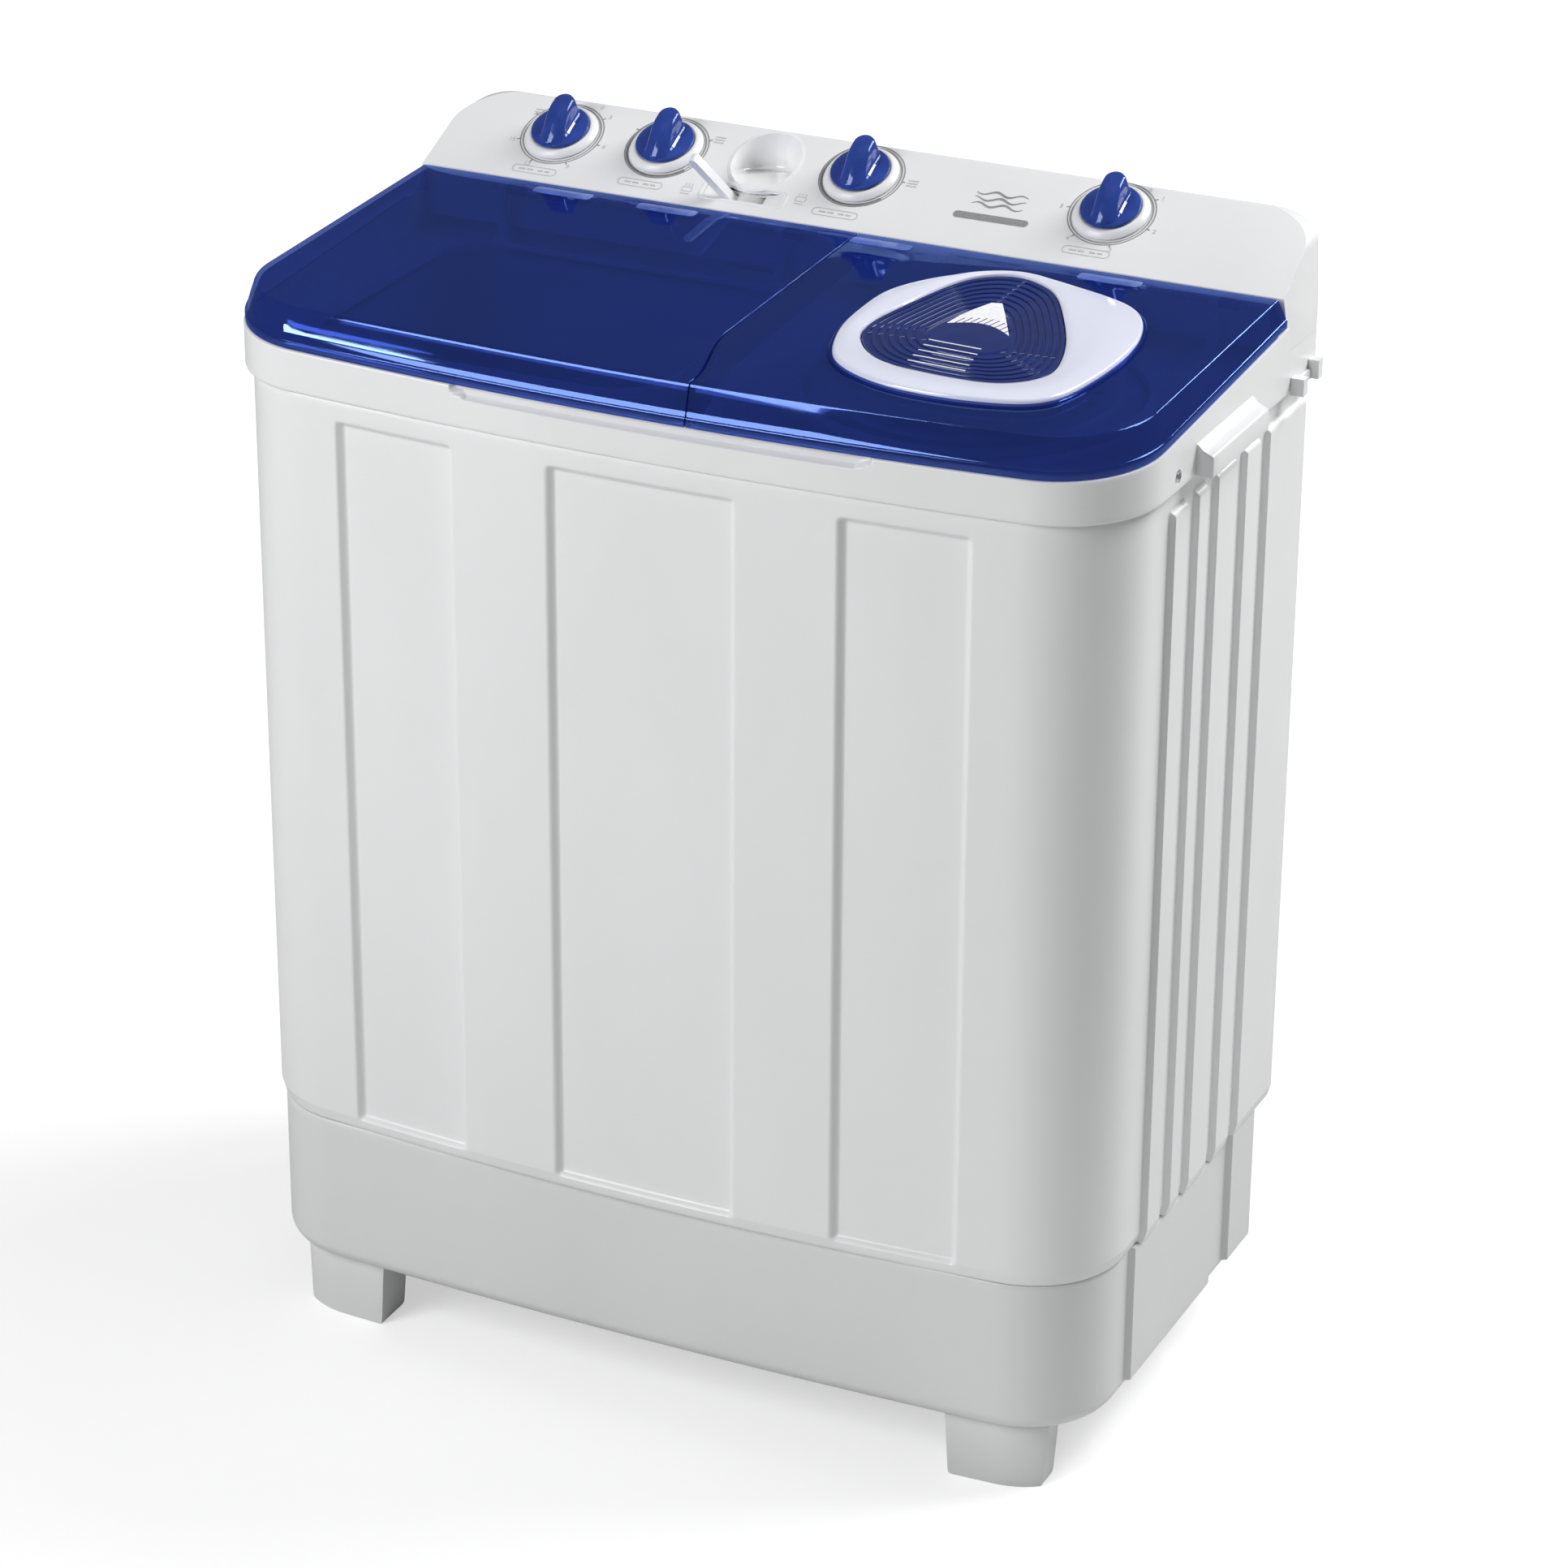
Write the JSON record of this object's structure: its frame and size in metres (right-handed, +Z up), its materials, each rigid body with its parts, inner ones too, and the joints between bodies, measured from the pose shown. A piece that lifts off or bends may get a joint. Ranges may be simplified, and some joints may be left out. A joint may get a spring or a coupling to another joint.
{
  "type": "twin tub washer",
  "caption": "Free-standing twin tub washing machine with a hinged wash lid, a hinged vented spin lid, a sloping rear console with rotary knobs, a pulsator tub and a spin basket.",
  "frame": {"origin": "on the floor under the middle of the machine's box", "axes": "+Z up, -Y towards the person using it, +X towards the spin side"},
  "size_m": [0.794, 0.439, 0.962],
  "materials": {
    "white_shell": "satin moulded",
    "grey_cover": "matte moulded",
    "blue_lid": "polished translucent",
    "blue_knob": "polished",
    "natural_plastic": "satin moulded",
    "basket_plastic": "satin moulded",
    "screw_steel": "zinc plated",
    "cast_metal": "as cast",
    "motor_metal": "varnished laminations",
    "black_rubber": "matte"
  },
  "bodies": {
    "cabinet": {"base": "white_shell", "foot_front_left": "white_shell", "foot_front_right": "white_shell", "foot_rear_left": "white_shell", "foot_rear_right": "white_shell", "body_shell": "white_shell", "rear_cover": "grey_cover", "top_frame": "white_shell", "side_screw_left": "screw_steel", "side_screw_right": "screw_steel", "hose_clip": "white_shell", "console": "white_shell", "console_back": "grey_cover", "inlet_bowl": "white_shell", "wash_timer_case": "natural_plastic", "wash_selector_switch": "natural_plastic", "spin_timer_case": "natural_plastic", "wash_hinge_rod": "screw_steel", "spin_hinge_rod": "screw_steel", "wash_tub": "natural_plastic", "lint_filter": "natural_plastic", "overflow_cover": "natural_plastic", "gearbox": "cast_metal", "v_belt": "black_rubber", "wash_motor": "motor_metal", "drive_bracket": "screw_steel", "drain_valve": "natural_plastic", "drain_outlet": "black_rubber", "spin_tub": "natural_plastic", "shaft_bellows": "black_rubber", "spin_inner_cover": "natural_plastic", "spin_motor": "motor_metal", "motor_spring_1": "screw_steel", "motor_spring_2": "screw_steel", "motor_spring_3": "screw_steel", "cord_gland": "black_rubber"},
    "wash_lid_body": {"wash_lid": "blue_lid"},
    "spin_lid_body": {"spin_lid": "blue_lid", "air_vent_frame": "white_shell", "air_vent_grille": "blue_lid"},
    "wash_timer_knob": {"wash_timer_skirt": "white_shell", "wash_timer_grip": "blue_knob"},
    "wash_selector_knob": {"wash_selector_skirt": "white_shell", "wash_selector_grip": "blue_knob"},
    "drain_selector_knob": {"drain_selector_skirt": "white_shell", "drain_selector_grip": "blue_knob", "drain_cam": "natural_plastic"},
    "spin_timer_knob": {"spin_timer_skirt": "white_shell", "spin_timer_grip": "blue_knob"},
    "inlet_lever_body": {"inlet_lever": "white_shell"},
    "pulsator_body": {"pulsator": "natural_plastic", "pulsator_screw": "screw_steel"},
    "gearbox_pulley_body": {"gearbox_pulley": "cast_metal"},
    "motor_pulley_body": {"motor_pulley": "screw_steel"},
    "spin_rotor": {"spin_basket": "basket_plastic", "balance_ring": "white_shell", "spin_press_cap": "basket_plastic", "spin_shaft": "screw_steel"},
    "brake_lever_body": {"brake_lever": "screw_steel"},
    "drain_plunger_body": {"drain_plunger": "natural_plastic"}
  },
  "joints": [
    {"name": "wash_lid_hinge", "type": "hinge", "parent": "cabinet", "child": "wash_lid_body", "pos_m": [0, 0.1205, 0.8955], "axis": [-1, 0, 0], "range_deg": [0, 78]},
    {"name": "spin_lid_hinge", "type": "hinge", "parent": "cabinet", "child": "spin_lid_body", "pos_m": [0, 0.1205, 0.8955], "axis": [-1, 0, 0], "range_deg": [0, 78]},
    {"name": "wash_timer_turn", "type": "hinge", "parent": "cabinet", "child": "wash_timer_knob", "pos_m": [-0.273, 0.1797, 0.92742], "axis": [0, 0.454, -0.891], "range_deg": [0, 300]},
    {"name": "wash_selector_turn", "type": "hinge", "parent": "cabinet", "child": "wash_selector_knob", "pos_m": [-0.178, 0.18192, 0.92856], "axis": [0, 0.454, -0.891], "range_deg": [-60, 60]},
    {"name": "drain_selector_turn", "type": "hinge", "parent": "cabinet", "child": "drain_selector_knob", "pos_m": [-0.004, 0.18371, 0.92947], "axis": [0, 0.454, -0.891], "range_deg": [0, 90]},
    {"name": "spin_timer_turn", "type": "hinge", "parent": "cabinet", "child": "spin_timer_knob", "pos_m": [0.2115, 0.1846, 0.92992], "axis": [0, 0.454, -0.891], "range_deg": [0, 270]},
    {"name": "inlet_lever_swing", "type": "hinge", "parent": "cabinet", "child": "inlet_lever_body", "pos_m": [-0.092, 0.16032, 0.88837], "axis": [0, 0.891, 0.454], "range_deg": [0, 63]},
    {"name": "gearbox_pulley_spin", "type": "hinge", "parent": "cabinet", "child": "gearbox_pulley_body", "pos_m": [-0.175, -0.027, 0.18], "axis": [0, 0, 1], "continuous": true},
    {"name": "motor_pulley_spin", "type": "hinge", "parent": "cabinet", "child": "motor_pulley_body", "pos_m": [-0.3, 0.098, 0.18], "axis": [0, 0, 1], "continuous": true},
    {"name": "pulsator_spin", "type": "hinge", "parent": "cabinet", "child": "pulsator_body", "pos_m": [-0.175, -0.027, 0.35], "axis": [0, 0, 1], "continuous": true},
    {"name": "spin_rotor_spin", "type": "hinge", "parent": "cabinet", "child": "spin_rotor", "pos_m": [0.196, -0.04, 0.45], "axis": [0, 0, 1], "continuous": true},
    {"name": "brake_lever_swing", "type": "hinge", "parent": "cabinet", "child": "brake_lever_body", "pos_m": [0.25, 0.034, 0.276], "axis": [0, 0, -1], "range_deg": [0, 1.9]},
    {"name": "drain_plunger_lift", "type": "slide", "parent": "cabinet", "child": "drain_plunger_body", "axis": [0, 0, 1], "range_m": [0, 0.016]}
  ],
  "couplings": [
    {"joint": "motor_pulley_spin", "follows": "gearbox_pulley_spin", "ratio": 5.714},
    {"joint": "pulsator_spin", "follows": "gearbox_pulley_spin", "ratio": 0.2857},
    {"joint": "brake_lever_swing", "follows": "spin_lid_hinge", "ratio": 0.024},
    {"joint": "drain_plunger_lift", "follows": "drain_selector_turn", "m_per_rad": 0.0101}
  ]
}
